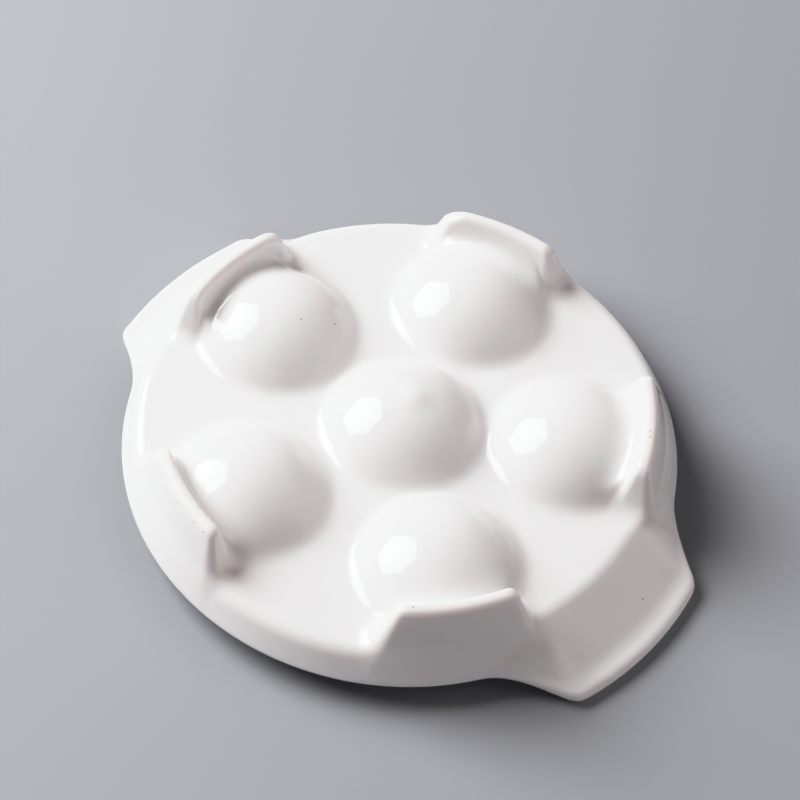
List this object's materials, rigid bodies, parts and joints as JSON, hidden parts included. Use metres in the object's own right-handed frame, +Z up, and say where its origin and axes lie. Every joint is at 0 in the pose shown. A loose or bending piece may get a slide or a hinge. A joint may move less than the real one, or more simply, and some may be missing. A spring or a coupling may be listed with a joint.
{
  "type": "escargot plate",
  "caption": "Round white porcelain escargot plate with domed snail wells, curved feet under the wells and flared ear handles, stored upside down on its handle lips.",
  "frame": {"origin": "middle of the plate on the table that the handles' lips lie on, with the plate upside down as in the picture", "axes": "+X along the line through both handles, towards the handle that lies between two feet; +Z up, from the table towards the feet; +Y across"},
  "size_m": [0.164, 0.14, 0.028],
  "materials": {
    "porcelain": "clear gloss glaze over white porcelain"
  },
  "bodies": {
    "root": {"plate_shell": "porcelain", "center_well": "porcelain", "outer_well_1": "porcelain", "outer_well_2": "porcelain", "outer_well_3": "porcelain", "outer_well_4": "porcelain", "outer_well_5": "porcelain", "foot_1": "porcelain", "foot_2": "porcelain", "foot_3": "porcelain", "foot_4": "porcelain", "foot_5": "porcelain", "handle_right": "porcelain", "handle_left": "porcelain"}
  },
  "joints": []
}
